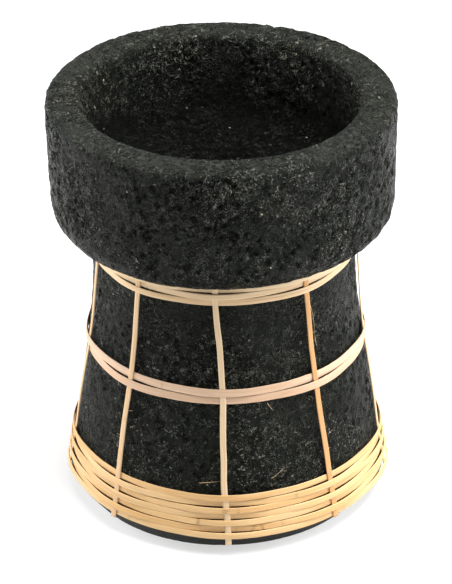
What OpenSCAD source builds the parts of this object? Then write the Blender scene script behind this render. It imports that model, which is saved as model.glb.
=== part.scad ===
// Black clay pot on a hollow pedestal foot, bound with split cane.
// Units are millimetres. +Z is up the axis of the pot, the origin is the centre of the
// plane the foot rests on, and the front stake stands on the -Y side.

/* [Collar] */
// outer diameter of the collar at the rim
collar_d = 160; // [156:1:172]
// height of the whole pot
total_h = 201; // [192:1:212]
// height of the collar, rim to underside
collar_h = 63.3; // [58:0.1:68]
// how much smaller the radius is at the bottom of the collar
collar_taper = 0.8; // [0:0.1:2]
// radius of the outer edge of the rim
rim_round = 3.7; // [2:0.1:6]
// radius of the lower edge of the collar
collar_round = 14; // [8:0.5:14]

/* [Bowl] */
// diameter of the mouth
mouth_d = 125.5; // [116:0.5:128]
// radius of the inner edge of the rim
mouth_round = 4.5; // [2:0.1:5]
// depth of the bowl below the rim
bowl_depth = 40; // [30:0.5:46]
// diameter of the bowl at its floor, outside the fillet
bowl_floor_d = 122; // [112:0.5:124]
// fillet radius between bowl wall and floor
bowl_fillet = 9; // [5:0.5:14]

/* [Skirt] */
// diameter of the neck under the collar
neck_d = 120.4; // [114:0.2:122]
// radius gained per millimetre down the neck
neck_lean = 0.03; // [0:0.005:0.05]
// radius gained per millimetre down the lower skirt
skirt_lean = 0.158; // [0.12:0.002:0.17]
// drop from the collar underside to the knee between the two slopes
knee_drop = 40; // [30:1:50]
// softness of the knee
knee_soft = 12; // [6:1:20]
// height of the bevel under the skirt
foot_rise = 9.5; // [7:0.5:10]
// how far the bevel draws the foot in
foot_inset = 8.3; // [5:0.1:9]
// radius of the lower edge of the foot
foot_round = 1.5; // [1:0.1:3]

/* [Hollow foot] */
// wall thickness of the pedestal
wall_t = 16; // [14:0.5:18]
// thickness of clay under the bowl floor
floor_t = 12; // [8:0.5:18]
// radius at the top of the hollow
hollow_round = 14; // [8:0.5:20]

/* [Cane] */
// width of a stake
stake_w = 2.8; // [2.4:0.1:3.6]
// thickness of every strip
strip_t = 1; // [0.8:0.05:1.2]
// clearance between strips, and between strip and clay
strip_gap = 0.1; // [0.09:0.01:0.2]
// length of a stake below the last base row
tail_l = 3; // [1:0.1:4]

/* [Woven rows] */
// drop from the collar underside to the first top row at the front
top_drop = 4.7; // [4:0.1:8]
// pitch of the top rows
top_pitch = 3.1; // [3:0.05:3.3]
// height of the first middle row at the front
middle_z = 81.6; // [74:0.1:88]
// pitch of the middle rows
middle_pitch = 3.9; // [3.6:0.05:4.2]
// height of the first base row at the front
base_z = 30; // [29.5:0.1:33]
// pitch of the base rows
base_pitch = 3.16; // [3.1:0.02:3.4]

/* [Hidden] */
collar_r = collar_d / 2;
collar_z = total_h - collar_h;
top_z = collar_z - top_drop;
floor_z = total_h - bowl_depth;
mouth_r = mouth_d / 2;
bowl_r = bowl_floor_d / 2;
neck_r = neck_d / 2;
stakes = 9;
step_a = 360 / stakes;
row_gap = 0.1;
base_rows = 7;
stake_level = strip_t * 1.5 + strip_gap * 2;
weave_amp = strip_t + strip_gap;
stake_top = collar_z - 0.5;
stake_foot = base_z - base_pitch * (base_rows - 0.5) - tail_l;
stake_cuts = 22;
scarf_a = 5;
scarf_edge = 0.2;
scarf_step = 0.6;
row_step = 5;
slope_dz = 0.5;
arc_n = 7;
pot_fn = 96;
clay_tint = [0.16, 0.17, 0.15];
cane_tint = [0.84, 0.70, 0.50];
pale_tint = [0.88, 0.76, 0.64];

// Outer radius of the clay below the collar: two slopes joined by a soft knee.
function skirt_r(z) =
  let (h = collar_z - z, k = h - knee_drop)
  neck_r + neck_lean * h
    + (skirt_lean - neck_lean) / 2 * (k + sqrt(k * k + knee_soft * knee_soft));

// Radius gained per millimetre of height, negative because the skirt narrows upwards.
function skirt_slope(z) =
  (skirt_r(z + slope_dz) - skirt_r(z - slope_dz)) / (2 * slope_dz);

// Point on the skirt moved out along the surface normal and up along the surface.
function skirt_pt(z, out, up) =
  let (s = skirt_slope(z), n = sqrt(1 + s * s))
  [skirt_r(z) + (out + s * up) / n, z + (up - s * out) / n];

function arc(cx, cy, r, a0, a1) =
  [for (i = [0 : arc_n]) let (a = a0 + (a1 - a0) * i / arc_n) [cx + r * cos(a), cy + r * sin(a)]];

// Levels down the skirt, evenly spaced from z0 to z1.
function levels(z0, z1, n) = [for (i = [0 : n]) z0 + (z1 - z0) * i / n];

module pot_body() {
  foot_r = skirt_r(foot_rise) - foot_inset;
  hollow_top = floor_z - floor_t;
  hollow_z = hollow_top - hollow_round;
  hollow_r = skirt_r(min(hollow_z, collar_z)) - wall_t;
  low_r = collar_r - collar_taper;
  color(clay_tint)
  rotate_extrude($fn = pot_fn)
  polygon(concat(
    [[0, floor_z]],
    arc(bowl_r - bowl_fillet, floor_z + bowl_fillet, bowl_fillet, -90, 0),
    arc(mouth_r + mouth_round, total_h - mouth_round, mouth_round, 180, 90),
    arc(collar_r - rim_round, total_h - rim_round, rim_round, 90, 0),
    arc(low_r - collar_round, collar_z + collar_round, collar_round, 0, -90),
    [for (z = levels(collar_z, foot_rise, 12)) [skirt_r(z), z]],
    arc(foot_r, foot_round, foot_round, -40, -90),
    [for (z = levels(0, hollow_z, 8)) [skirt_r(min(z, collar_z)) - wall_t, z]],
    arc(hollow_r - hollow_round, hollow_z, hollow_round, 10, 90),
    [[0, hollow_top]]));
}

// A stake is a flat strip that follows the skirt at a constant distance.
module stake(i) {
  zs = levels(stake_foot, stake_top, stake_cuts);
  inner = stake_level - strip_t / 2;
  color(cane_tint)
  rotate([0, 0, 270 + step_a * i])
  rotate([90, 0, 0])
  linear_extrude(stake_w, center = true)
  polygon(concat(
    [for (z = zs) skirt_pt(z, inner, 0)],
    [for (j = [stake_cuts : -1 : 0]) skirt_pt(zs[j], inner + strip_t, 0)]));
}

// Running angle of the joint after a turn: always behind a stake of the back pair.
function joint_a(turn, phase) =
  360 * (turn + 1) + ((turn + phase) % 2 == 0 ? step_a / 2 : -step_a / 2);

// One turn of a running over-one, under-one weave. Angles run from the back of the pot
// round its left side, the height falls by one pitch a turn, and each end is scarfed
// against the next strip where the weave passes behind a stake.
module weaver(z_front, pitch, turn, phase) {
  a0 = joint_a(turn - 1, phase);
  a1 = joint_a(turn, phase);
  ts = concat([a0 - scarf_a, a0 + scarf_a, a0 + scarf_a + scarf_step],
    [for (a = [a0 + 2 * row_step : row_step : a1 - 2 * row_step]) a],
    [a1 - scarf_a - scarf_step, a1 - scarf_a, a1 + scarf_a]);
  head = [[-scarf_a, strip_t - scarf_edge + strip_gap / 2], [scarf_a, scarf_edge],
    [scarf_a + scarf_step, 0]];
  tail = [[-scarf_a - scarf_step, strip_t], [-scarf_a, strip_t - scarf_edge],
    [scarf_a, scarf_edge - strip_gap / 2]];
  w = pitch - row_gap;
  n = len(ts);
  pts = [for (t = ts)
    let (z = z_front + pitch / 2 - pitch * t / 360,
      wave = cos(180 * (t / step_a - 0.5) + 180 * phase),
      base = stake_level + weave_amp * wave - strip_t / 2,
      a = base + lookup(t - a0, head),
      b = base + lookup(t - a1, tail))
    for (c = [[a, -w / 2], [b, -w / 2], [b, w / 2], [a, w / 2]])
    let (p = skirt_pt(z, c[0], c[1])) [p[0] * cos(90 + t), p[0] * sin(90 + t), p[1]]];
  sides = [for (i = [0 : n - 2]) for (k = [0 : 3])
    let (p = 4 * i + k, q = 4 * i + (k + 1) % 4)
    for (f = [[p, p + 4, q + 4], [p, q + 4, q]]) f];
  last = 4 * (n - 1);
  polyhedron(pts, concat(sides, [[0, 1, 2], [0, 2, 3],
    [last + 2, last + 1, last], [last + 3, last + 2, last]]));
}

module top_row(turn) { color(cane_tint) weaver(top_z, top_pitch, turn, 1); }
module middle_row(turn) { color(pale_tint) weaver(middle_z, middle_pitch, turn, 0); }
module base_row(turn) { color(cane_tint) weaver(base_z, base_pitch, turn, 0); }

module stake_1() { stake(0); }
module stake_2() { stake(1); }
module stake_3() { stake(2); }
module stake_4() { stake(3); }
module stake_5() { stake(4); }
module stake_6() { stake(5); }
module stake_7() { stake(6); }
module stake_8() { stake(7); }
module stake_9() { stake(8); }
module top_weaver_1() { top_row(0); }
module top_weaver_2() { top_row(1); }
module top_weaver_3() { top_row(2); }
module middle_weaver_1() { middle_row(0); }
module middle_weaver_2() { middle_row(1); }
module base_weaver_1() { base_row(0); }
module base_weaver_2() { base_row(1); }
module base_weaver_3() { base_row(2); }
module base_weaver_4() { base_row(3); }
module base_weaver_5() { base_row(4); }
module base_weaver_6() { base_row(5); }
module base_weaver_7() { base_row(6); }

pot_body();
stake_1();
stake_2();
stake_3();
stake_4();
stake_5();
stake_6();
stake_7();
stake_8();
stake_9();
top_weaver_1();
top_weaver_2();
top_weaver_3();
middle_weaver_1();
middle_weaver_2();
base_weaver_1();
base_weaver_2();
base_weaver_3();
base_weaver_4();
base_weaver_5();
base_weaver_6();
base_weaver_7();
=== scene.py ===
"""Black clay pot bound with split cane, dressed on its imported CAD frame.

Lengths are metres in the frame of the CAD model: +Z up the axis of the pot, -Y to the front.
Run as a script, it registers the add-on and builds every piece in order.
"""

import math

import bpy
import numpy as np
from bpy.props import FloatProperty, FloatVectorProperty, PointerProperty
from bpy.types import Operator, Panel, PropertyGroup
from mathutils import Matrix, Vector


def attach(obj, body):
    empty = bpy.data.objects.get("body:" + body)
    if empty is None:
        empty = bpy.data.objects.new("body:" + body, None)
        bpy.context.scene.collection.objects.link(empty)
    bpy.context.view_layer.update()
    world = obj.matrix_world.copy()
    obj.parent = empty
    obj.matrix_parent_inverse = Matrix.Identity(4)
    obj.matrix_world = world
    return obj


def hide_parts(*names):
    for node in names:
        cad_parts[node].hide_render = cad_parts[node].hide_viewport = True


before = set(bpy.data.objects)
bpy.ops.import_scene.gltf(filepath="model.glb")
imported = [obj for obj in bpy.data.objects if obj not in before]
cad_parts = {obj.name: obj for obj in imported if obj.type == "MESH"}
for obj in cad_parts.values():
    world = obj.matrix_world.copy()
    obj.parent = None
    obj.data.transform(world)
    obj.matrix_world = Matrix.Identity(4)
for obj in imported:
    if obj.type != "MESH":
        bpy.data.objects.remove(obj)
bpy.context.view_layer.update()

bl_info = {
    "name": "Clay pot bound with split cane",
    "version": (1, 0, 0),
    "blender": (4, 5, 0),
    "location": "View3D > Sidebar > Clay pot",
    "description": "Builds the visible model of a black clay pot with a woven cane binding",
    "category": "Object",
}

BODY = "root"
STAKES = 9
STAKE_STEP = 360.0 / STAKES
FRONT = 180.0  # running angle of the front of the pot, which starts at the back

# Points round and along the pieces.
COLLAR_AROUND, SKIRT_AROUND = 540, 500
COLLAR_STEP, SKIRT_STEP, HIDDEN_STEP = 0.00115, 0.00092, 0.005
STAKE_RINGS, ROW_RINGS = 150, 460
FIBRE_RINGS, FIBRE_SIDES = 14, 6

RELIEF_SINK = 0.0003  # how far the outline is drawn in, so that ridges end near it
STAKE_BOW = 0.0004  # how far a stake stands off between two groups of rows
BOW_LENGTH = 0.042
BOW_STARTS = (0.035, 0.084)
ROW_LAP = 3.0  # degrees that a row runs on past its joint
ROW_FILL = 0.965  # width of a row over the pitch of the rows
ROW_DRIFT = 0.0004  # how far a row wanders up and down
FLOOR_REACH = 3.0
AIM = (0.0, 0.0, 0.10)


def length(name, text, default):
    """A property holding a length in metres."""
    return FloatProperty(name=name, description=text, default=default, unit="LENGTH", precision=5)


def ratio(name, text, default):
    """A property holding a plain number."""
    return FloatProperty(name=name, description=text, default=default, precision=4)


def colour(name, text, default):
    """A property holding a linear colour."""
    return FloatVectorProperty(
        name=name, description=text, default=default, subtype="COLOR", size=3, min=0.0, max=1.0
    )


class ClayPotShape(PropertyGroup):
    """Sizes of the fired clay body."""

    collar_r: length("Collar radius", "Outer radius of the collar at the rim", 0.080)
    total_h: length("Height", "Height of the pot", 0.201)
    collar_z: length("Collar underside", "Height of the underside of the collar", 0.1377)
    taper: length("Collar taper", "Radius lost from rim to lower edge", 0.0008)
    rim_round: length("Rim rounding", "Radius of the outer edge of the rim", 0.0037)
    collar_round: length("Collar rounding", "Radius of the lower edge of the collar", 0.014)
    mouth_r: length("Mouth radius", "Radius of the mouth", 0.06275)
    mouth_round: length("Mouth rounding", "Radius of the inner edge of the rim", 0.0045)
    bowl_r: length("Bowl radius", "Radius of the bowl above its fillet", 0.061)
    bowl_z: length("Bowl floor", "Height of the bowl floor", 0.161)
    bowl_fillet: length("Bowl fillet", "Radius between bowl wall and floor", 0.009)
    neck_r: length("Neck radius", "Radius of the neck under the collar", 0.0602)
    neck_lean: ratio("Neck lean", "Radius gained per unit of drop at the neck", 0.03)
    skirt_lean: ratio("Skirt lean", "Radius gained per unit of drop on the skirt", 0.158)
    knee_drop: length("Knee drop", "Drop from the collar to the knee", 0.040)
    knee_soft: length("Knee softness", "Softness of the knee", 0.012)
    foot_rise: length("Bevel height", "Height of the bevel under the skirt", 0.0095)
    foot_inset: length("Bevel inset", "How far the bevel draws the foot in", 0.0083)
    foot_round: length("Foot rounding", "Radius of the lower edge of the foot", 0.0015)
    wall_t: length("Wall", "Thickness of the pedestal wall", 0.016)
    hollow_z: length("Hollow top", "Height of the top of the hollow", 0.149)
    hollow_round: length("Hollow rounding", "Radius at the top of the hollow", 0.014)
    collar_tilt: ratio("Collar tilt", "Slope of the collar, thrown by hand", -0.0163)
    foot_shift: length("Foot shift", "Sideways shift of the foot, thrown by hand", -0.0006)


class ClayPotCane(PropertyGroup):
    """Sizes of the cane strips."""

    stake_w: length("Stake width", "Width of an upright strip", 0.0028)
    strip_t: length("Thickness", "Thickness of a strip", 0.0007)
    stake_out: length("Stake stand-off", "Distance from clay to the middle of a stake", 0.0012)
    weave: length("Weave", "How far a row swings out over a stake", 0.0013)
    under: length("Under level", "Distance from clay to the middle of a row behind a stake", 0.0005)
    reach: ratio("Reach", "Degrees over which a row settles back on the clay", 21.0)
    top_z: length("Top rows", "Height of the first top row at the front", 0.1330)
    top_pitch: length("Top pitch", "Pitch of the top rows", 0.0031)
    middle_z: length("Middle rows", "Height of the first middle row at the front", 0.0816)
    middle_pitch: length("Middle pitch", "Pitch of the middle rows", 0.0039)
    base_z: length("Base rows", "Height of the first base row at the front", 0.0300)
    base_pitch: length("Base pitch", "Pitch of the base rows", 0.00316)
    foot_z: length("Stake foot", "Height of the cut ends of the stakes", 0.0064)
    top_end: length("Stake top", "Height of the upper ends of the stakes", 0.1372)


class ClayPotLooks(PropertyGroup):
    """Colours of the materials."""

    # Painted shade: the colour that stands for shade in pits, cracks, pores, low hollows and the
    # bowl floor.
    clay_shade: colour("Clay, hollows", "Clay in the hollows", (0.0008, 0.0009, 0.0007))
    clay_mid: colour("Clay", "Clay body", (0.0046, 0.0055, 0.0039))
    # Painted highlight on raised grain, and painted light on the flat of the rim.
    clay_highlight: colour("Clay, worn", "Clay on rubbed high spots", (0.085, 0.090, 0.076))
    # Painted highlight along thin ridges.
    clay_ridge_highlight: colour("Clay, ridges", "Thin ridges that catch the light", (0.34, 0.35, 0.29))
    clay_pale: colour("Clay, scratched", "Pale scratches and fibres", (0.60, 0.52, 0.38))
    cane: colour("Cane", "Split cane", (0.72, 0.49, 0.27))
    cane_light: colour("Cane, light", "Light grain of the cane", (0.83, 0.67, 0.45))
    band: colour("Band cane", "Yellower cane of the base rows", (0.69, 0.41, 0.16))
    band_light: colour("Band cane, light", "Light grain of the base rows", (0.82, 0.58, 0.31))
    cane_pink: colour("Pale cane", "Paler cane of the middle rows", (0.62, 0.39, 0.24))
    cane_pink_light: colour("Pale cane, light", "Light grain of the paler cane", (0.77, 0.56, 0.40))
    cane_tan: colour("Cane, tanned", "Tone of the browner strips", (0.58, 0.27, 0.075))
    cane_knot: colour("Cane, knot", "Brown marks at the nodes of the cane", (0.30, 0.15, 0.06))
    floor: colour("Floor", "Studio table", (0.42, 0.42, 0.42))
    floor_glow: ratio("Floor glow", "Light that comes through the table", 0.60)


class ClayPotStage(PropertyGroup):
    """Camera and lights."""

    distance: length("Distance", "Level distance from the axis to the camera", 1.2699)
    height: length("Height", "Height of the camera", 0.8220)
    side: length("Side", "Sideways place of the camera", -0.0037)
    pitch: ratio("Pitch", "Downward angle of the camera, in radians", 0.5193)
    roll: ratio("Roll", "Roll of the camera, in radians", -0.0206)
    lens: ratio("Lens", "Focal length in millimetres", 192.0)
    shift_x: ratio("Shift X", "Sideways shift of the view", 0.0157)
    shift_y: ratio("Shift Y", "Upward shift of the view", 0.0041)
    key: ratio("Key light", "Power of the overhead light, in watts", 28.0)
    fill: ratio("Side lights", "Power of each side light, in watts", 16.5)
    sky: ratio("Sky", "Strength of the surrounding light", 0.14)


# ---------------------------------------------------------------- numbers and noise


def smoothstep(low, high, x):
    """0 below low, 1 above high, and the cubic 3u^2 - 2u^3 between."""
    u = np.clip((x - low) / (high - low), 0.0, 1.0)
    return u * u * (3.0 - 2.0 * u)


def hashed(i, seed):
    """A number from 0 to 1 for each whole-number lattice point in the rows of i."""
    h = (
        i[..., 0] * np.int64(374761393)
        + i[..., 1] * np.int64(668265263)
        + i[..., 2] * np.int64(1274126177)
        + np.int64(seed) * np.int64(974634777)
    ) & np.int64(0xFFFFFFFF)
    h = ((h ^ (h >> 13)) * np.int64(1103515245)) & np.int64(0xFFFFFFFF)
    h = ((h ^ (h >> 16)) * np.int64(69069)) & np.int64(0xFFFFFFFF)
    return ((h ^ (h >> 15)) & np.int64(0xFFFFFF)) / float(0xFFFFFF)


def value_noise(p, seed):
    """Smooth noise from 0 to 1: lattice values blended by a cubic along each axis."""
    base = np.floor(p).astype(np.int64)
    f = p - base
    f = f * f * (3.0 - 2.0 * f)
    total = np.zeros(p.shape[:-1])
    for corner in np.ndindex(2, 2, 2):
        c = np.array(corner)
        weight = np.prod(np.where(c == 1, f, 1.0 - f), axis=-1)
        total += weight * hashed(base + c, seed)
    return total


def fractal(p, octaves, seed):
    """Sum of octaves of value noise, each half as strong and twice as fine, scaled to 0..1."""
    total, weight, norm = np.zeros(p.shape[:-1]), 1.0, 0.0
    for k in range(octaves):
        total += weight * value_noise(p * 2.0**k + 17.3 * k, seed + k)
        norm += weight
        weight *= 0.5
    return total / norm


def cells(p, seed):
    """Distance to the nearest of the random points that stand one in each lattice cell."""
    base = np.floor(p).astype(np.int64)
    best = np.full(p.shape[:-1], 9.0)
    for shift in np.ndindex(3, 3, 3):
        cell = base + np.array(shift) - 1
        point = cell + np.stack([hashed(cell, seed + k) for k in range(3)], -1)
        best = np.minimum(best, np.sum((p - point) ** 2, axis=-1))
    return np.sqrt(best)


# ---------------------------------------------------------------- outline of the clay


def skirt_r(s, z):
    """Radius below the collar: two straight slopes joined by a hyperbola at the knee."""
    h = s.collar_z - z
    k = h - s.knee_drop
    bend = (s.skirt_lean - s.neck_lean) / 2.0
    return s.neck_r + s.neck_lean * h + bend * (k + np.sqrt(k * k + s.knee_soft**2))


def skirt_slope(s, z):
    """Radius gained per unit of height, by central difference."""
    dz = 0.0005
    return (skirt_r(s, z + dz) - skirt_r(s, z - dz)) / (2.0 * dz)


def arc(r, z, radius, start, end, count=24):
    """Points of a circular arc in the profile plane, angles in degrees."""
    a = np.radians(np.linspace(start, end, count))
    return np.stack([r + radius * np.cos(a), z + radius * np.sin(a)], -1)


def resample(path, step):
    """The path with points an even step apart along its length."""
    run = np.concatenate([[0.0], np.cumsum(np.linalg.norm(np.diff(path, axis=0), axis=1))])
    at = np.linspace(0.0, run[-1], max(2, int(round(run[-1] / step))))
    return np.stack([np.interp(at, run, path[:, k]) for k in range(2)], -1)


def skirt_profile(s):
    """From the top of the hollow foot down its wall, round the foot and up to the neck."""
    low = s.hollow_z - s.hollow_round
    inner = float(skirt_r(s, low)) - s.wall_t
    zs = np.linspace(low, 0.0, 20)
    wall = np.stack([skirt_r(s, zs) - s.wall_t, zs], -1)
    foot_r = float(skirt_r(s, s.foot_rise)) - s.foot_inset
    up = np.linspace(s.foot_rise, s.collar_z, 60)
    top = arc(inner - s.hollow_round, low, s.hollow_round, 90, 8)
    foot = arc(foot_r, s.foot_round, s.foot_round, -90, -40)
    hidden = resample(np.vstack([[[0.0005, s.hollow_z]], top, wall]), HIDDEN_STEP)
    shown = resample(np.vstack([foot, np.stack([skirt_r(s, up), up], -1)]), SKIRT_STEP)
    return np.vstack([hidden, shown])


def collar_profile(s):
    """From the neck out under the collar, up its side, over the rim and down into the bowl."""
    low_r = s.collar_r - s.taper
    path = np.vstack(
        [
            [[s.neck_r, s.collar_z]],
            arc(low_r - s.collar_round, s.collar_z + s.collar_round, s.collar_round, -90, 0),
            arc(s.collar_r - s.rim_round, s.total_h - s.rim_round, s.rim_round, 0, 90),
            arc(s.mouth_r + s.mouth_round, s.total_h - s.mouth_round, s.mouth_round, 90, 180),
            arc(s.bowl_r - s.bowl_fillet, s.bowl_z + s.bowl_fillet, s.bowl_fillet, 0, -90),
            [[0.0005, s.bowl_z]],
        ]
    )
    return resample(path, COLLAR_STEP)


def relief(p, strength):
    """Height of the coarse clay surface over its outline, in metres.

    Slow swellings, sharp ridges where fine noise crosses its middle value, and round pits at
    scattered points. A slow mask leaves some patches calm, as the hand has smoothed them.
    """
    slow = fractal(p / 0.026, 3, 3) - 0.5
    rough = 0.30 + 0.70 * smoothstep(0.38, 0.58, fractal(p / 0.030, 2, 11))
    warp = np.stack([fractal(p / 0.005, 2, 21 + k) for k in range(3)], -1) - 0.5
    q = p + 0.0035 * warp
    ridge = (1.0 - np.abs(2.0 * fractal(q / 0.0052, 2, 31) - 1.0)) ** 4
    pit = smoothstep(0.42, 0.26, cells(q / 0.0038, 41))
    return strength * (0.0004 * slow + rough * (0.0006 * ridge - 0.0008 * pit))


def hand_shape(s, p):
    """What the hand did to the outline: a tilted collar and a shifted foot."""
    out = p.copy()
    x, z = p[..., 0], p[..., 2]
    out[..., 2] += s.collar_tilt * x * smoothstep(s.collar_z, s.collar_z + 0.015, z)
    out[..., 0] += s.foot_shift * (1.0 - smoothstep(0.0, 0.016, z))
    return out


def revolve(s, profile, around, strength):
    """Grid of points: the profile turned about the axis and pushed along its normal.

    The normal of a profile that runs with the clay on its left is (dz, -dr).
    """
    tangent = np.gradient(profile, axis=0)
    tangent /= np.linalg.norm(tangent, axis=1, keepdims=True)
    turn = np.linspace(0.0, 2.0 * np.pi, around, endpoint=False)
    c, n = np.cos(turn), np.sin(turn)
    r, z = profile[:, :1], profile[:, 1:]
    base = np.stack([r * c, r * n, np.broadcast_to(z, (len(profile), around))], -1)
    nr, nz = tangent[:, 1:], -tangent[:, :1]
    normal = np.stack([nr * c, nr * n, np.broadcast_to(nz, (len(profile), around))], -1)
    height = relief(base, strength) - RELIEF_SINK * strength
    return hand_shape(s, base + normal * height[..., None]), height


# ---------------------------------------------------------------- meshes


def make_mesh(name, points, faces, uvs=None, floats=None):
    """A smooth mesh object riding on the body, with an optional UV map and float attributes."""
    mesh = bpy.data.meshes.new(name)
    mesh.from_pydata(points.reshape(-1, 3).tolist(), [], faces)
    mesh.update()
    mesh.polygons.foreach_set("use_smooth", np.ones(len(mesh.polygons), dtype=bool))
    for key, values in (floats or {}).items():
        layer = mesh.attributes.new(key, "FLOAT", "POINT")
        layer.data.foreach_set("value", np.asarray(values, dtype=np.float32).ravel())
    if uvs is not None:
        layer = mesh.uv_layers.new(name="Length")
        corner = np.empty(len(mesh.loops), dtype=np.int32)
        mesh.loops.foreach_get("vertex_index", corner)
        layer.data.foreach_set("uv", uvs.reshape(-1, 2)[corner].astype(np.float32).ravel())
    piece = bpy.data.objects.new(name, mesh)
    bpy.context.scene.collection.objects.link(piece)
    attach(piece, BODY)
    return piece


def ring_faces(rows, around):
    """Quads of a grid whose second direction closes on itself."""
    i, j = np.meshgrid(np.arange(rows - 1), np.arange(around), indexing="ij")
    k = (j + 1) % around
    low, high = i * around, (i + 1) * around
    return np.stack([low + j, low + k, high + k, high + j], -1).reshape(-1, 4).tolist()


def cap_faces(start, around, flip):
    """One polygon over the ring of points that begins at start."""
    ring = list(range(start, start + around))
    return [ring[::-1] if flip else ring]


def build_surface(name, s, profile, around):
    """A turned clay surface, with a small cap where its profile reaches the axis.

    The texture is calmer on the skirt, where the cane lies on it, and fades out at the foot and
    at the neck. The attribute inside grows from 0 at the mouth to 1 on the floor of the bowl,
    and rim_top is 1 on the flat of the rim; the clay shader paints shade by the one and light by
    the other.
    """
    r, z = profile[:, 0], profile[:, 1]
    strength = 0.7 + 0.3 * smoothstep(s.collar_z - 0.002, s.collar_z + 0.004, z)
    strength = strength * (0.1 + 0.9 * smoothstep(0.006, 0.016, z))
    strength = strength * (0.3 + 0.7 * smoothstep(0.0, 0.004, np.abs(z - s.collar_z)))
    rim_top = smoothstep(s.total_h - 0.0035, s.total_h - 0.0008, z)
    strength = strength * (1.0 - 0.2 * rim_top)
    inside = smoothstep(s.total_h - 0.004, s.bowl_z + 0.004, z) * (r < s.mouth_r + 0.0005)
    inside = inside * (z > s.bowl_z - 0.001)
    grid, height = revolve(s, profile, around, strength[:, None])
    rows = len(profile)
    faces = ring_faces(rows, around)
    if profile[0, 0] < 0.001:
        faces += cap_faces(0, around, True)
    if profile[-1, 0] < 0.001:
        faces += cap_faces((rows - 1) * around, around, False)
    floats = {"relief": height * 1000.0}
    for key, values in (("detail", strength), ("inside", inside), ("rim_top", rim_top)):
        floats[key] = np.broadcast_to(values[:, None], (rows, around))
    return make_mesh(name, grid, faces, floats=floats)


def section(count=14):
    """Unit outline of a split strip: a superellipse of the fourth power, flat with round edges."""
    a = np.linspace(0.0, 2.0 * np.pi, count, endpoint=False)
    c, s = np.cos(a), np.sin(a)
    return np.stack([np.sign(c) * np.abs(c) ** 0.5, np.sign(s) * np.abs(s) ** 0.5], -1)


def build_strip(name, centre, across, outward, width, thick, knot=None, seed=0, tint=0.0):
    """A strip swept along centre: section x runs across, section y outward."""
    sec = section()
    m, n = len(centre), len(sec)
    run = np.concatenate([[0.0], np.cumsum(np.linalg.norm(np.diff(centre, axis=0), axis=1))])
    probe = np.stack([run / 0.011, np.full(m, seed * 3.7), np.zeros(m)], -1)
    width = np.broadcast_to(width, m)
    wide = width * (1.0 + 0.16 * (fractal(probe, 3, 50) - 0.5)) / 2.0
    mark = np.zeros(m) if knot is None else knot
    fat = thick * (1.0 + 0.25 * (fractal(probe, 2, 60) - 0.5) + 0.3 * mark) / 2.0
    split = 1.0 + 0.05 * (fractal(probe * 4.0, 2, 70) - 0.5)
    grid = (
        centre[:, None]
        + across[:, None] * (sec[None, :, :1] * (wide * split)[:, None, None])
        + outward[:, None] * (sec[None, :, 1:] * fat[:, None, None])
    )
    faces = ring_faces(m, n) + cap_faces(0, n, True) + cap_faces((m - 1) * n, n, False)
    uvs = np.stack(
        [
            np.broadcast_to(run[:, None] + seed * 1.7, (m, n)),
            sec[None, :, 0] * 0.5 * width[:, None] + seed * 0.37,
        ],
        -1,
    )
    edge = np.broadcast_to(np.abs(sec[None, :, 0]) ** 3, (m, n))
    floats = {"knot": np.broadcast_to(mark[:, None], (m, n)), "edge": edge}
    floats["tint"] = np.full((m, n), tint)
    return make_mesh(name, grid, faces, uvs=uvs, floats=floats)


def spots(x, marks):
    """Sum of smooth bumps: each mark is (place, strength, half-width)."""
    total = np.zeros(len(x))
    for place, strength, half in marks:
        total += strength * np.exp(-(((x - place) / half) ** 2))
    return np.clip(total, 0.0, 1.0)


# ---------------------------------------------------------------- paths of the cane

# Shade of each stake, front first: lighter above 0, browner below.
TINTS = (0.3, -1.2, -0.2, 0.2, -0.2, 0.1, -0.3, -0.45, -0.3)
# Extra height of each stake's cut end, front first.
TAILS = (0.0, 0.0022, 0.0012, 0.0003, 0.0015, 0.0002, 0.0010, 0.0018, 0.0020)
# Nodes of the cane: (strip, turn): degrees from the front, strength and half-width in degrees.
KNOTS = {
    ("base_weaver", 1): ((25.0, 0.6, 0.6),),
    ("base_weaver", 2): ((-1.5, 0.9, 1.2), (3.2, 0.8, 0.35)),
    ("base_weaver", 4): ((-11.0, 0.9, 0.7),),
    ("base_weaver", 5): ((2.4, 0.7, 0.4), (8.5, 0.8, 0.9), (11.5, 0.9, 0.5), (19.0, 0.5, 0.6)),
    ("base_weaver", 6): ((-38.0, 0.5, 0.6), (45.0, 0.5, 0.5)),
    ("top_weaver", 1): ((-36.0, 0.9, 0.8),),
    ("middle_weaver", 0): ((-27.0, 0.35, 0.5),),
}

FIBRE_R = 0.00013
# Loose fibres: degrees from the front, height, length, heading and curl in degrees.
FIBRES = (
    (-11.5, 0.0365, 0.0105, 12.0, -6.0),
    (15.5, 0.0370, 0.0085, 30.0, 14.0),
    (16.0, 0.0750, 0.0050, -65.0, 10.0),
    (38.6, 0.1180, 0.0160, -84.0, -10.0),
    (40.5, 0.1010, 0.0065, -100.0, 30.0),
    (-41.0, 0.0560, 0.0030, 20.0, 30.0),
    (-45.0, 0.0500, 0.0026, 190.0, -30.0),
    (-42.0, 0.0640, 0.0024, 10.0, 20.0),
    (-35.5, 0.1290, 0.0028, 35.0, 30.0),
    (-33.0, 0.1280, 0.0024, 145.0, -30.0),
    (-5.0, 0.0150, 0.0024, -100.0, 20.0),
    (4.0, 0.0095, 0.0030, 5.0, 12.0),
    (96.0, 0.0850, 0.0070, 40.0, 20.0),
    (134.0, 0.0400, 0.0090, 160.0, -25.0),
    (-120.0, 0.0380, 0.0080, 25.0, 18.0),
    (-158.0, 0.0830, 0.0060, -60.0, -15.0),
    (171.0, 0.1230, 0.0060, -40.0, 25.0),
)

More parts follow.
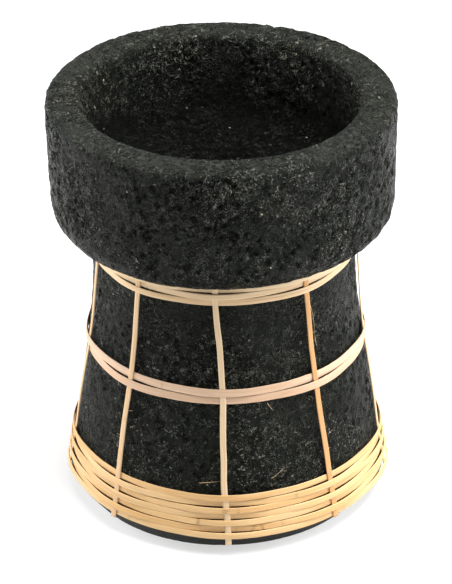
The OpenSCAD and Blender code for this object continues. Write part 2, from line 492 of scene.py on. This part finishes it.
# How far each stake leans from its even place, in degrees, at the heights in LEAN_Z:
# cut end, top base row, middle rows, top rows. Front stake first, then on round to the right.
LEAN_Z = (0.009, 0.032, 0.080, 0.129)
LEANS = (
    (-0.6, -1.6, -1.7, -4.2),
    (0.6, -0.3, -1.8, -3.7),
    (-2.0, -2.0, 1.5, 5.0),
    (1.0, 0.6, 0.0, -0.6),
    (-1.0, 0.0, 0.8, 1.5),
    (0.8, 1.2, 0.4, -0.5),
    (0.0, -1.0, -0.5, 0.6),
    (-3.0, -0.6, 3.2, 10.0),
    (-5.0, -4.4, -2.4, 1.1),
)


def stake_angle(index, z):
    """Running angle of a stake at height z, in degrees: its even place plus its lean."""
    return FRONT + STAKE_STEP * index + np.interp(z, LEAN_Z, LEANS[index % STAKES])


def on_skirt(s, t, z, out):
    """Points and local directions at running angle t, a distance out from the clay."""
    a = np.radians(90.0 + t)
    slope = skirt_slope(s, z)
    n = np.sqrt(1.0 + slope * slope)
    r = skirt_r(s, z) + out / n
    point = np.stack([r * np.cos(a), r * np.sin(a), z - slope * out / n], -1)
    outward = np.stack([np.cos(a) / n, np.sin(a) / n, -slope / n], -1)
    up = np.stack([slope * np.cos(a) / n, slope * np.sin(a) / n, 1.0 / n], -1)
    return point, outward, up


def crossings(z, turns):
    """Running angles of every stake crossing from one turn before the start, at height z."""
    first = [stake_angle(k, z) for k in range(-4, 5)]
    return np.concatenate([np.array(first) + 360.0 * n for n in range(-1, turns + 2)])


def row_level(c, t, z, phase, turns):
    """Distance from the clay to the middle of a row.

    A row lies on the clay behind a stake and swings out over the next as the bell
    (1 - u^2)^2, u being the angle from the stake over the reach.
    """
    at = crossings(z, turns)
    over = ((np.arange(len(at)) - STAKES) + phase) % 2 == 0
    gap = np.abs(t[:, None] - at[over][None, :]).min(axis=1)
    left = np.clip(1.0 - (gap / c.reach) ** 2, 0.0, 1.0)
    return c.under + c.weave * left * left


def joint_angle(turn, phase):
    """Running angle of the joint after a turn, behind a stake of the back pair."""
    half = STAKE_STEP / 2.0
    return 360.0 * (turn + 1) + (half if (turn + phase) % 2 == 0 else -half)


class ClayPotOperator:
    """What the operators share."""

    bl_options = {"REGISTER", "UNDO"}

    @classmethod
    def poll(cls, context):
        return context.scene is not None


# ---------------------------------------------------------------- materials


class Sock:
    """A shader socket that takes part in arithmetic."""

    def __init__(self, graph, socket):
        self.graph, self.socket = graph, socket

    def __add__(self, other):
        return self.graph.math("ADD", self, other)

    __radd__ = __add__

    def __sub__(self, other):
        return self.graph.math("SUBTRACT", self, other)

    def __rsub__(self, other):
        return self.graph.math("SUBTRACT", other, self)

    def __mul__(self, other):
        return self.graph.math("MULTIPLY", self, other)

    __rmul__ = __mul__

    def __pow__(self, other):
        return self.graph.math("POWER", self, other)

    def __abs__(self):
        return self.graph.math("ABSOLUTE", self, 0.0)

    def ramp(self, low, high):
        """0 below low and 1 above high, smooth between; low may be the larger."""
        settings = {"interpolation_type": "SMOOTHSTEP"}
        values = {"Value": self, 1: min(low, high), 2: max(low, high)}
        if low > high:
            values.update({3: 1.0, 4: 0.0})
        return self.graph.node("ShaderNodeMapRange", settings, values)


class Graph:
    """Builds the nodes of one material."""

    def __init__(self, name):
        self.material = bpy.data.materials.new(name)
        self.material.use_nodes = True
        self.tree = self.material.node_tree
        self.shader = self.tree.nodes["Principled BSDF"]

    def fill(self, socket, value):
        """Links a Sock to a socket, or sets a constant on it."""
        if isinstance(value, Sock):
            self.tree.links.new(value.socket, socket)
        elif socket.type == "RGBA":
            socket.default_value = (*value, 1.0)
        else:
            socket.default_value = value

    def node(self, kind, settings=None, values=None, out=0):
        """A node of any kind with its settings, socket values or links, and one output."""
        made = self.tree.nodes.new(kind)
        for key, value in (settings or {}).items():
            setattr(made, key, value)
        for key, value in (values or {}).items():
            self.fill(made.inputs[key], value)
        return Sock(self, made.outputs[out])

    def math(self, operation, a, b):
        return self.node("ShaderNodeMath", {"operation": operation}, {0: a, 1: b})

    def mix(self, a, b, factor):
        """Colour a where factor is 0 and b where it is 1."""
        settings = {"data_type": "RGBA", "clamp_factor": True}
        return self.node("ShaderNodeMix", settings, {"Factor": factor, 6: a, 7: b}, out=2)

    def stretch(self, vector, scale):
        return self.node("ShaderNodeVectorMath", {"operation": "MULTIPLY"}, {0: vector, 1: scale})

    def noise(self, vector, scale, detail=3.0, rough=0.55, out=0):
        """Noise from 0 to 1, or its colour with out=1."""
        values = {"Vector": vector, "Scale": scale, "Detail": detail, "Roughness": rough}
        return self.node("ShaderNodeTexNoise", {}, values, out)

    def voronoi(self, vector, scale):
        """Distance to the nearest of scattered points."""
        return self.node("ShaderNodeTexVoronoi", {}, {"Vector": vector, "Scale": scale})

    def attribute(self, name):
        return self.node("ShaderNodeAttribute", {"attribute_name": name}, out=2)

    def surface(self, **sockets):
        for key, value in sockets.items():
            self.fill(self.shader.inputs[key.replace("_", " ")], value)

    def bump(self, height, distance, strength=1.0):
        values = {"Height": height, "Distance": distance, "Strength": strength}
        return self.node("ShaderNodeBump", {}, values)


def clay_material(looks, name):
    """Coarse matt clay: painted shade in pits and cracks, painted highlights on ridges and raised
    grain, pale hair-thin wisps, fine grit.

    The flat of the rim is painted lighter, as light falls on it, and painted shade keeps the floor
    of the bowl darkest.
    """
    g = Graph(name)
    where = g.node("ShaderNodeTexCoord", out=3)
    height, detail = g.attribute("relief"), g.attribute("detail")
    inside, rim_top = g.attribute("inside"), g.attribute("rim_top")
    slow = g.noise(where, 34.0, 2.0)
    patch = g.noise(where, 120.0, 3.0)
    drift = g.stretch(g.noise(where, 330.0, 3.0, out=1), (0.010, 0.010, 0.010))
    wander = g.node("ShaderNodeVectorMath", {"operation": "ADD"}, {0: where, 1: drift})
    crest = 1.0 - abs(g.noise(wander, 230.0, 2.0, 0.5) * 2.0 - 1.0)
    plate = 1.0 - abs(g.noise(wander, 150.0, 2.0, 0.55) * 2.0 - 1.0)
    crumb = g.noise(wander, 620.0, 3.0, 0.65)
    grit = g.noise(where, 1500.0, 2.0, 0.7)
    deep = inside**3.0
    calm = detail * (1.0 - deep * 0.5)
    field = g.noise(where, 22.0, 2.0).ramp(0.42, 0.58) * 0.75 + 0.25
    rough = (patch.ramp(0.36, 0.54) * 0.75 + 0.25) * calm * field
    pits = g.voronoi(wander, 380.0).ramp(0.30, 0.25) * patch.ramp(0.42, 0.52) * calm
    cracks = plate.ramp(0.955, 0.98) * slow.ramp(0.36, 0.55) * calm
    pores = g.voronoi(wander, 800.0).ramp(0.34, 0.20) * rough
    # Painted shade: pits, cracks, pores and the low hollows of the relief are darkened in the
    # colour.
    black = pits * 0.95 + cracks * 0.85 + pores * 0.85 + height.ramp(-0.3, -0.9) * 0.25
    # Painted shade deep in the bowl: its floor and fillet are darkened in the colour.
    tone = g.mix(looks.clay_mid, looks.clay_shade, black + deep * 0.85)
    grain = (crumb * 0.55 + grit * 0.45).ramp(0.52, 0.65)
    # Painted highlight where the bump's grain is high, and painted light on the flat of the rim.
    grain_and_rim_light = grain * (calm * 0.35 + rim_top * 0.45) + rim_top * 0.18
    tone = g.mix(tone, looks.clay_highlight, grain_and_rim_light * (1.0 - black) * (1.0 - deep))
    fine = 1.0 - abs(g.noise(wander, 430.0, 1.0, 0.5) * 2.0 - 1.0)
    # Painted highlight: thin bright lines along the crests that the bump raises.
    ridge_highlight = crest.ramp(0.94, 0.975) * crumb.ramp(0.49, 0.58)
    ridge_highlight = ridge_highlight + fine.ramp(0.945, 0.985) * patch.ramp(0.46, 0.56) * 0.6
    # Ridge highlights are kept off the painted shade.
    unshaded = (1.0 - black) * (1.0 - deep * 0.8)
    tone = g.mix(tone, looks.clay_ridge_highlight, ridge_highlight * field * detail * unshaded)
    wisp = crest.ramp(0.965, 0.985) * crumb.ramp(0.55, 0.62) * slow.ramp(0.56, 0.62)
    tone = g.mix(tone, looks.clay_pale, wisp * detail * (1.0 - deep))
    fleck = g.voronoi(where, 240.0).ramp(0.14, 0.10) * g.noise(where, 90.0, 1.0).ramp(0.66, 0.71)
    tone = g.mix(tone, looks.clay_pale, fleck * detail * 0.8)
    bumps = crest**4.0 * rough * 0.9 + fine**6.0 * rough * 0.4 + crumb * rough * 0.9 + grit * 0.45
    g.surface(
        Base_Color=tone,
        Roughness=0.27 + (crumb - 0.5) * 0.4 + (1.0 - calm) * 0.25 + black * 0.6,
        Normal=g.bump(bumps - pits * 0.9 - cracks * 0.7 - pores * 0.5, 0.0032),
    )
    g.surface(Specular_IOR_Level=0.10, Specular_Tint=(0.92, 1.0, 0.84))
    return g.material


def cane_material(looks, name, base, light):
    """Split cane: fine fibres along the strip, lighter edges and brown marks at its nodes."""
    g = Graph(name)
    along = g.node("ShaderNodeUVMap", {"uv_map": "Length"})
    fibre = g.noise(g.stretch(along, (50.0, 1700.0, 1.0)), 1.0, 3.0, 0.6)
    streak = g.noise(g.stretch(along, (12.0, 750.0, 1.0)), 1.0, 2.0)
    slow = g.noise(g.stretch(along, (16.0, 40.0, 1.0)), 1.0, 2.0)
    mark = g.attribute("knot")
    edge = g.attribute("edge")
    tint = g.attribute("tint")
    pale = slow.ramp(0.35, 0.68) * 0.4 + fibre.ramp(0.42, 0.66) * 0.45 + tint * 0.5
    tone = g.mix(base, light, pale)
    tone = g.mix(tone, light, edge * 0.35)
    tone = g.mix(tone, looks.cane_tan, tint * -0.6)
    tone = g.mix(tone, looks.cane_knot, streak.ramp(0.56, 0.74) * 0.32)
    stain = g.noise(g.stretch(along, (420.0, 900.0, 1.0)), 1.0, 3.0, 0.7)
    tone = g.mix(tone, looks.cane_knot, mark * stain.ramp(0.38, 0.62))
    g.surface(
        Base_Color=tone,
        Roughness=0.5 + (fibre - 0.5) * 0.3,
        Normal=g.bump(fibre * 1.0 + streak * 0.8 + mark * 0.5, 0.00022),
    )
    g.surface(Specular_IOR_Level=0.4)
    return g.material


def floor_material(looks):
    """A lit white table: part of its light comes from below, so shadows on it stay pale."""
    g = Graph("studio_floor")
    where = g.node("ShaderNodeTexCoord", out=3)
    cloud = g.noise(where, 2.0, 2.0)
    dim = tuple(v * 0.99 for v in looks.floor)
    g.surface(Base_Color=g.mix(tuple(looks.floor), dim, cloud), Roughness=0.9)
    g.surface(Emission_Color=(1.0, 1.0, 1.0), Emission_Strength=looks.floor_glow)
    return g.material


# ---------------------------------------------------------------- operators


class CLAYPOT_OT_body(ClayPotOperator, Operator):
    """Build the fired clay body as two turned surfaces, one above the neck and one below"""

    bl_idname = "claypot.body"
    bl_label = "Clay body"

    def execute(self, context):
        s, looks = context.scene.claypot_shape, context.scene.claypot_looks
        clay = clay_material(looks, "coarse_clay")
        collar = build_surface("pot_collar", s, collar_profile(s), COLLAR_AROUND)
        skirt = build_surface("pot_skirt", s, skirt_profile(s), SKIRT_AROUND)
        for piece in (collar, skirt):
            piece.data.materials.append(clay)
        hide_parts("pot_body")
        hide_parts("pot_body")
        return {"FINISHED"}


class CLAYPOT_OT_stakes(ClayPotOperator, Operator):
    """Build the nine upright cane strips"""

    bl_idname = "claypot.stakes"
    bl_label = "Stakes"

    def execute(self, context):
        s, c = context.scene.claypot_shape, context.scene.claypot_cane
        looks = context.scene.claypot_looks
        cane = cane_material(looks, "stake_cane", tuple(looks.cane), tuple(looks.cane_light))
        for k in range(STAKES):
            z = np.linspace(c.foot_z + TAILS[k], c.top_end, STAKE_RINGS)
            sway = (fractal(np.stack([z / 0.02, z * 0.0, z * 0.0 + k], -1), 2, 80) - 0.5) * 0.9
            out = c.stake_out
            for low in BOW_STARTS:
                out = out + STAKE_BOW * np.sin(np.pi * np.clip((z - low) / BOW_LENGTH, 0.0, 1.0))
            centre, outward, _ = on_skirt(s, stake_angle(k, z) + sway, z, out)
            path = np.gradient(centre, axis=0)
            path /= np.linalg.norm(path, axis=1, keepdims=True)
            across = np.cross(path, outward)
            name = f"cane_stake_{k + 1}"
            # The sweep's section runs across, then outward, so across points against the turn.
            taper = c.stake_w * (1.06 - 0.14 * (z - c.foot_z) / (c.top_end - c.foot_z))
            knot = spots(z, ((0.012 + 0.05 * (k * 0.37 % 1.0), 0.3, 0.0009),))
            strip = build_strip(
                name, centre, -across, outward, taper, c.strip_t, knot, k + 1, TINTS[k]
            )
            strip.data.materials.append(cane)
            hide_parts(f"stake_{k + 1}")
        return {"FINISHED"}


class CLAYPOT_OT_rows(ClayPotOperator, Operator):
    """Build the woven rows, one strip a turn"""

    bl_idname = "claypot.rows"
    bl_label = "Woven rows"

    def execute(self, context):
        s, c = context.scene.claypot_shape, context.scene.claypot_cane
        looks = context.scene.claypot_looks
        cane = cane_material(looks, "row_cane", tuple(looks.cane), tuple(looks.cane_light))
        pink, pink_light = tuple(looks.cane_pink), tuple(looks.cane_pink_light)
        pale = cane_material(looks, "pale_cane", pink, pink_light)
        band = cane_material(looks, "band_cane", tuple(looks.band), tuple(looks.band_light))
        groups = (
            ("top_weaver", c.top_z, c.top_pitch, 3, 1, cane, "cane"),
            ("middle_weaver", c.middle_z, c.middle_pitch, 2, 0, pale, "pale_cane"),
            ("base_weaver", c.base_z, c.base_pitch, 7, 0, band, "cane"),
        )
        seed = 20
        for name, z_front, pitch, turns, phase, material, slot in groups:
            for turn in range(turns):
                seed += 1
                start = joint_angle(turn - 1, phase) - ROW_LAP
                t = np.linspace(start, joint_angle(turn, phase) + ROW_LAP, ROW_RINGS)
                # The rows run on downwards, and turn 0 passes the front at z_front.
                z = z_front + pitch / 2.0 - pitch * t / 360.0
                drift = fractal(np.stack([t / 40.0, t * 0.0 + seed, t * 0.0], -1), 2, 90) - 0.5
                z = z + ROW_DRIFT * drift
                out = row_level(c, t, float(z.mean()), phase, turns)
                centre, outward, up = on_skirt(s, t, z, out)
                width = pitch * ROW_FILL
                here = t - FRONT - 360.0 * turn
                hidden_knot = (120.0 + 23.0 * turn, 0.5, 0.6)
                knot = spots(here, KNOTS.get((name, turn), ()) + (hidden_knot,))
                tint = 0.5 * (seed * 0.618 % 1.0) - 0.25
                title = f"cane_{name}_{turn + 1}"
                strip = build_strip(
                    title, centre, -up, outward, width, c.strip_t, knot, seed, tint
                )
                strip.data.materials.append(material)
                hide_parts(f"{name}_{turn + 1}")
        return {"FINISHED"}


class CLAYPOT_OT_fibres(ClayPotOperator, Operator):
    """Build the hair-thin fibres that have split off the cane"""

    bl_idname = "claypot.fibres"
    bl_label = "Loose fibres"

    def execute(self, context):
        s, looks = context.scene.claypot_shape, context.scene.claypot_looks
        cane = cane_material(looks, "fibre_cane", tuple(looks.cane), tuple(looks.cane_light))
        points, faces = [], []
        for k, (angle, z0, long, heading, curl) in enumerate(FIBRES):
            u = np.linspace(0.0, 1.0, FIBRE_RINGS)
            turn = np.radians(heading + curl * u)
            run = long / len(u)
            z = z0 + np.cumsum(np.sin(turn)) * run
            t = FRONT + angle + np.degrees(np.cumsum(np.cos(turn)) * run / skirt_r(s, z))
            out = 0.0006 + 0.35 * long * u * (1.0 - 0.6 * u) * (0.3 + 0.5 * (k * 0.618 % 1.0))
            centre, outward, _ = on_skirt(s, t, z, out)
            side = np.cross(np.gradient(centre, axis=0), outward)
            side /= np.linalg.norm(side, axis=1, keepdims=True)
            thin = FIBRE_R * (1.0 - 0.7 * u)[:, None, None]
            a = np.linspace(0.0, 2.0 * np.pi, FIBRE_SIDES, endpoint=False)[None, :, None]
            ring = np.cos(a) * side[:, None] + np.sin(a) * outward[:, None]
            tube = centre[:, None] + thin * ring
            start = len(points)
            points.extend(tube.reshape(-1, 3).tolist())
            last = (FIBRE_RINGS - 1) * FIBRE_SIDES
            ends = cap_faces(0, FIBRE_SIDES, True) + cap_faces(last, FIBRE_SIDES, False)
            whole = ring_faces(FIBRE_RINGS, FIBRE_SIDES) + ends
            faces.extend([start + v for v in face] for face in whole)
        points = np.array(points)
        hairs = make_mesh("cane_fibres", points, faces, uvs=points[:, 1:])
        hairs.data.materials.append(cane)
        return {"FINISHED"}


class CLAYPOT_OT_stage(ClayPotOperator, Operator):
    """Build the floor, the lights and the camera"""

    bl_idname = "claypot.stage"
    bl_label = "Stage"

    def execute(self, context):
        scene, stage = context.scene, context.scene.claypot_stage
        mesh = bpy.data.meshes.new("studio_floor")
        signs = ((-1, -1), (1, -1), (1, 1), (-1, 1))
        corners = [(x * FLOOR_REACH, y * FLOOR_REACH, 0.0) for x, y in signs]
        mesh.from_pydata(corners, [], [(0, 1, 2, 3)])
        mesh.materials.append(floor_material(scene.claypot_looks))
        floor = bpy.data.objects.new("studio_floor", mesh)
        scene.collection.objects.link(floor)

        self.light("key_light", (0.25, -0.10, 1.25), 0.8, stage.key)
        self.light("left_light", (-1.05, 0.30, 0.50), 0.7, stage.fill)
        self.light("right_light", (1.1, 0.0, 0.55), 0.7, stage.fill)

        world = bpy.data.worlds.new("studio_sky")
        world.use_nodes = True
        tree = world.node_tree
        sky, seen = tree.nodes["Background"], tree.nodes.new("ShaderNodeBackground")
        sky.inputs["Strength"].default_value = stage.sky
        for shader in (sky, seen):
            shader.inputs["Color"].default_value = (1.0, 1.0, 1.0, 1.0)
        path, pick = tree.nodes.new("ShaderNodeLightPath"), tree.nodes.new("ShaderNodeMixShader")
        tree.links.new(path.outputs["Is Camera Ray"], pick.inputs["Fac"])
        tree.links.new(sky.outputs["Background"], pick.inputs[1])
        tree.links.new(seen.outputs["Background"], pick.inputs[2])
        tree.links.new(pick.outputs["Shader"], tree.nodes["World Output"].inputs["Surface"])
        scene.world = world
        scene.view_settings.view_transform = "Standard"

        data = bpy.data.cameras.new("main_camera")
        data.lens, data.sensor_width = stage.lens, 36.0
        data.shift_x, data.shift_y = stage.shift_x, stage.shift_y
        data.clip_start, data.clip_end = 0.05, 20.0
        camera = bpy.data.objects.new("main_camera", data)
        scene.collection.objects.link(camera)
        tilt = Matrix.Rotation(math.pi / 2.0 - stage.pitch, 4, "X")
        place = Matrix.Translation((stage.side, -stage.distance, stage.height))
        camera.matrix_world = place @ tilt @ Matrix.Rotation(stage.roll, 4, "Z")
        scene.camera = camera
        return {"FINISHED"}

    def light(self, name, place, size, power):
        """A square soft light at place, turned to the pot."""
        data = bpy.data.lights.new(name, "AREA")
        data.size, data.energy = size, power
        lamp = bpy.data.objects.new(name, data)
        bpy.context.scene.collection.objects.link(lamp)
        axis = (Vector(AIM) - Vector(place)).normalized()
        turn = axis.to_track_quat("-Z", "Y").to_matrix().to_4x4()
        lamp.matrix_world = Matrix.Translation(place) @ turn


class CLAYPOT_PT_main(Panel):
    """Sidebar panel with every size, colour and build step"""

    bl_idname = "CLAYPOT_PT_main"
    bl_label = "Clay pot"
    bl_space_type = "VIEW_3D"
    bl_region_type = "UI"
    bl_category = "Clay pot"

    def draw(self, context):
        for step in OPERATORS:
            self.layout.operator(step.bl_idname)
        for group in PROPERTY_GROUPS:
            box = self.layout.box()
            holder = getattr(context.scene, group)
            for key in holder.bl_rna.properties.keys():
                if key not in {"rna_type", "name"}:
                    box.prop(holder, key)


OPERATORS = (
    CLAYPOT_OT_body,
    CLAYPOT_OT_stakes,
    CLAYPOT_OT_rows,
    CLAYPOT_OT_fibres,
    CLAYPOT_OT_stage,
)
PROPERTY_GROUPS = {
    "claypot_shape": ClayPotShape,
    "claypot_cane": ClayPotCane,
    "claypot_looks": ClayPotLooks,
    "claypot_stage": ClayPotStage,
}


def register():
    """Registers the classes and hangs the property groups on the scene."""
    for cls in (*PROPERTY_GROUPS.values(), *OPERATORS, CLAYPOT_PT_main):
        bpy.utils.register_class(cls)
    for key, group in PROPERTY_GROUPS.items():
        setattr(bpy.types.Scene, key, PointerProperty(type=group))


def unregister():
    """Removes what register added."""
    for key in PROPERTY_GROUPS:
        delattr(bpy.types.Scene, key)
    for cls in reversed((*PROPERTY_GROUPS.values(), *OPERATORS, CLAYPOT_PT_main)):
        bpy.utils.unregister_class(cls)


def main():
    """Builds the pot, its binding and the stage."""
    register()
    bpy.ops.claypot.body()
    bpy.ops.claypot.stakes()
    bpy.ops.claypot.rows()
    bpy.ops.claypot.fibres()
    bpy.ops.claypot.stage()


if __name__ == "__main__":
    main()
